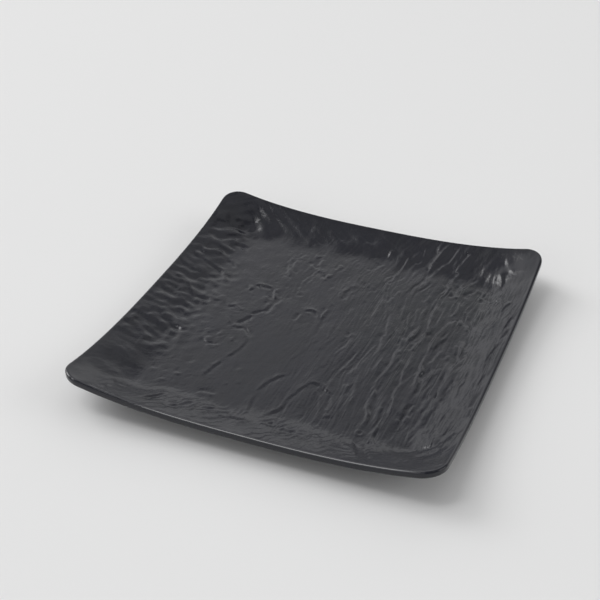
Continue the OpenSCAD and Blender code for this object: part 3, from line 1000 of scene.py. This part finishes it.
def fine_ridges(tree, place):
    """Fine layers from front to back, which grow in from the middle to the right.

    They follow six contours of a drawn-out noise, with a crease at each turn.
    """
    drawn_out = add_node(tree, "Mapping", {"Vector": place, "Scale": (1, 0.1, 1)})
    contours = noise(tree, drawn_out.outputs["Vector"], 130, Detail=2, Distortion=0.5)
    spread = calculate(tree, "MULTIPLY", contours, 6)
    ridges = calculate(tree, "PINGPONG", spread, 0.5)
    split = add_node(tree, "SeparateXYZ", {"Vector": place}).outputs
    rightward = between(tree, split["X"], *RIDGES_RIGHTWARD, LEAST_RIDGES, form="SMOOTHSTEP")
    forward = between(tree, split["Y"], *RIDGES_FORWARD, form="SMOOTHSTEP")
    share = calculate(tree, "MULTIPLY", rightward, forward)
    return calculate(tree, "MULTIPLY", ridges, share)


def melamine():
    """Black moulded melamine: a satin slate dish with a fine grain, and a glossier rim."""
    material, tree, shader = new_material("black_melamine")
    coordinates = add_node(tree, "TexCoord").outputs
    place = coordinates["Object"]

    # Tone: black, a touch blue, with faint clouds
    clouds = noise(tree, place, 55, Detail=5)
    black = tone(tree, clouds, (0.0032, 0.0038, 0.0085), (0.0052, 0.0058, 0.012), 0.3, 0.7)

    # The plain lip: 0 on the slate and 1 near the edge, whatever the height
    start = (HALF_W - CORNER_R) * MM
    across = calculate_vector(tree, "ABSOLUTE", place)
    beyond = calculate_vector(tree, "SUBTRACT", across, (start, start, 1))
    outside = calculate_vector(tree, "MAXIMUM", beyond, (0, 0, 0))
    lip = between(tree, calculate_vector(tree, "LENGTH", outside), *LIP_FADE)

    # Gloss: the moulded stone surface scatters in patches, and the lip is glossier
    patches = noise(tree, place, 240, Detail=4)
    slate_gloss = between(tree, patches, 0, 1, 0.12, 0.2)
    gloss = between(tree, lip, 0, 1, slate_gloss, 0.12)

    # Bump: small pits and hills with the fine ridges, faint on the lip and none underneath
    grain = noise(tree, place, 620, Detail=3, Roughness=0.6)
    rough = calculate(tree, "MULTIPLY_ADD", grain, GRAIN_SHARE, fine_ridges(tree, place))
    off_lip = between(tree, lip, 0, 1, 1, 0.05)
    facing = add_node(tree, "SeparateXYZ", {"Vector": coordinates["Normal"]}).outputs["Z"]
    upward = between(tree, facing, 0, UPWARD_ENOUGH)
    strength = calculate(tree, "MULTIPLY", off_lip, upward)
    bump = {"Height": rough, "Distance": 0.00025, "Strength": strength}
    bumped = add_node(tree, "Bump", bump).outputs["Normal"]
    set_inputs(tree, shader, {"Base Color": black, "Roughness": gloss, "Normal": bumped})
    return material


def pad_rubber():
    """Matt black silicone with a faintly cloudy tone and a fine moulded grain."""
    material, tree, shader = new_material("black_silicone")
    place = add_node(tree, "TexCoord").outputs["Object"]
    clouds = noise(tree, place, 300, Detail=4)
    black = tone(tree, clouds, (0.009, 0.009, 0.0095), (0.019, 0.019, 0.02))
    gloss = between(tree, clouds, 0, 1, 0.6, 0.8)
    grain = noise(tree, place, 2500)
    bumped = add_node(tree, "Bump", {"Height": grain, "Distance": 0.00005}).outputs["Normal"]
    set_inputs(tree, shader, {"Base Color": black, "Roughness": gloss, "Normal": bumped})
    return material


# The scene round the plate

# Where the photograph's camera aims, and from where, in millimetres and degrees
CAMERA_AIM = (-12.0, 33.2, 9.4)
CAMERA_PLACE = (256.9, -617.9, 505.1)
CAMERA_ROLL = -0.63
FOCAL_PIXELS = 1184.5
OPTICAL_CENTRE_X = 320
FRAME_PIXELS = 600
SENSOR_MM = 36

# The pale surface that the plate stands on, and how far it reaches, in metres
PALE = (0.76, 0.76, 0.76, 1)
FLOOR_REACH = 6

# Glow of the room, and of the pale wall at its back, by the sine of the elevation
ROOM_GLOWS = ((0, 0.24), (0.12, 0.28), (0.26, 0.34), (0.62, 0.34), (0.85, 0.34))
WALL_GLOWS = (
    (0, 0), (0.12, 0.16), (0.3, 0.68), (0.4, 0.6), (0.53, 0.36), (0.66, 0.5), (0.86, 0.04),
)
# Where the wall lies, and between which cosines off that direction it fades in
WALL_TOWARDS = (-0.454, 0.891, 0)
WALL_FADE = (0.35, 0.8)
# A wide glow at the left: the direction that it lies in, how bright, and how gathered
SIDE_GLOW_TOWARDS = (-0.816, 0.071, 0.574)
SIDE_GLOW = 1.3
SIDE_GLOW_POWER = 9

# Panel lights: heading from +Y and elevation in degrees, width and height in metres, and
# brightness
PANELS = {
    "key_panel": (-80, 38, 2.2, 2.4, 3.9),
    "lamp_panel": (-115, 66, 1.1, 2.2, 5.6),
    "front_panel": (-165, 20, 4.5, 2.0, 1.1),
    "right_panel": (74, 26, 4.0, 2.6, 1.7),
    "fill_panel": (28, 68, 3.4, 3.4, 0.3),
}
PANEL_DISTANCE = 5


def make_camera():
    data = bpy.data.cameras.new("camera")
    data.sensor_width = SENSOR_MM
    data.lens = FOCAL_PIXELS / FRAME_PIXELS * SENSOR_MM
    data.shift_x = -(OPTICAL_CENTRE_X - (FRAME_PIXELS - 1) / 2) / FRAME_PIXELS
    data.clip_start = 0.01
    camera = add_object("camera", data)
    place = Vector(CAMERA_PLACE) * MM
    aim = Vector(CAMERA_AIM) * MM
    turn = (aim - place).to_track_quat("-Z", "Y").to_matrix().to_4x4()
    roll = Matrix.Rotation(math.radians(CAMERA_ROLL), 4, "Z")
    camera.matrix_world = Matrix.Translation(place) @ turn @ roll
    bpy.context.scene.camera = camera


def make_floor():
    material, tree, shader = new_material("pale_floor")
    looks = {"Base Color": PALE, "Roughness": 0.9, "Specular IOR Level": 0.1}
    set_inputs(tree, shader, looks)
    bm = bmesh.new()
    bmesh.ops.create_grid(bm, x_segments=1, y_segments=1, size=FLOOR_REACH)
    add_mesh("floor", bm, material)


def make_panel(name, heading, elevation, width, height, radiance):
    """A soft panel light that faces the plate."""
    data = bpy.data.lights.new(name, "AREA")
    data.shape = "RECTANGLE"
    data.size = width
    data.size_y = height
    data.energy = radiance * math.pi * width * height
    light = add_object(name, data)
    turn = math.radians(heading)
    tilt = math.radians(elevation)
    towards = Vector(
        (math.sin(turn) * math.cos(tilt), math.cos(turn) * math.cos(tilt), math.sin(tilt))
    )
    light.location = towards * PANEL_DISTANCE
    light.rotation_euler = towards.to_track_quat("Z", "Y").to_euler()


def height_ramp(tree, upward, stops):
    """Brightness by the sine of the elevation, through the given stops."""
    node = add_node(tree, "ValToRGB", {"Fac": upward})
    node.color_ramp.interpolation = "EASE"
    spots = node.color_ramp.elements
    spots.remove(spots[1])
    for height, glow in stops:
        spot = spots[0] if height == 0 else spots.new(height)
        spot.color = (glow, glow, glow, 1)
    return node.outputs["Color"]


def make_world():
    """A dim studio with a pale wall at the back and a wide glow at the left."""
    world = bpy.data.worlds.new("world")
    bpy.context.scene.world = world
    world.use_nodes = True
    tree = world.node_tree
    place = add_node(tree, "TexCoord").outputs["Generated"]
    upward = add_node(tree, "SeparateXYZ", {"Vector": place}).outputs["Z"]
    room = height_ramp(tree, upward, ROOM_GLOWS)

    # The pale wall fades out to both sides and down to the horizon
    wall_height = height_ramp(tree, upward, WALL_GLOWS)
    wall_facing = calculate_vector(tree, "DOT_PRODUCT", place, WALL_TOWARDS)
    wall_share = between(tree, wall_facing, *WALL_FADE, form="SMOOTHSTEP")
    wall = calculate(tree, "MULTIPLY_ADD", wall_height, wall_share, room)

    # The glow at the left, gathered by a power of the cosine
    side_facing = calculate_vector(tree, "DOT_PRODUCT", place, SIDE_GLOW_TOWARDS)
    gathered = calculate(tree, "POWER", side_facing, SIDE_GLOW_POWER)
    total = calculate(tree, "MULTIPLY_ADD", gathered, SIDE_GLOW, wall)
    glow = tree.nodes["Background"]
    set_inputs(tree, glow, {"Color": total, "Strength": 1})

    # The camera sees a backdrop as pale as the floor in its place
    backdrop = add_node(tree, "Background", {"Color": PALE})
    seen = add_node(tree, "LightPath").outputs["Is Camera Ray"]
    shaders = {"Fac": seen, 1: glow.outputs["Background"], 2: backdrop.outputs["Background"]}
    either = add_node(tree, "MixShader", shaders).outputs["Shader"]
    set_inputs(tree, tree.nodes["World Output"], {"Surface": either})


make_camera()
make_floor()
make_world()
for name, numbers in PANELS.items():
    make_panel(name, *numbers)
bpy.context.scene.view_settings.view_transform = "Standard"

plate = make_plate_body(melamine())
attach(plate, "root")
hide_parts("plate_body")

rubber = pad_rubber()
for name in PADS:
    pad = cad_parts[name]
    pad.data.materials.clear()
    pad.data.materials.append(rubber)
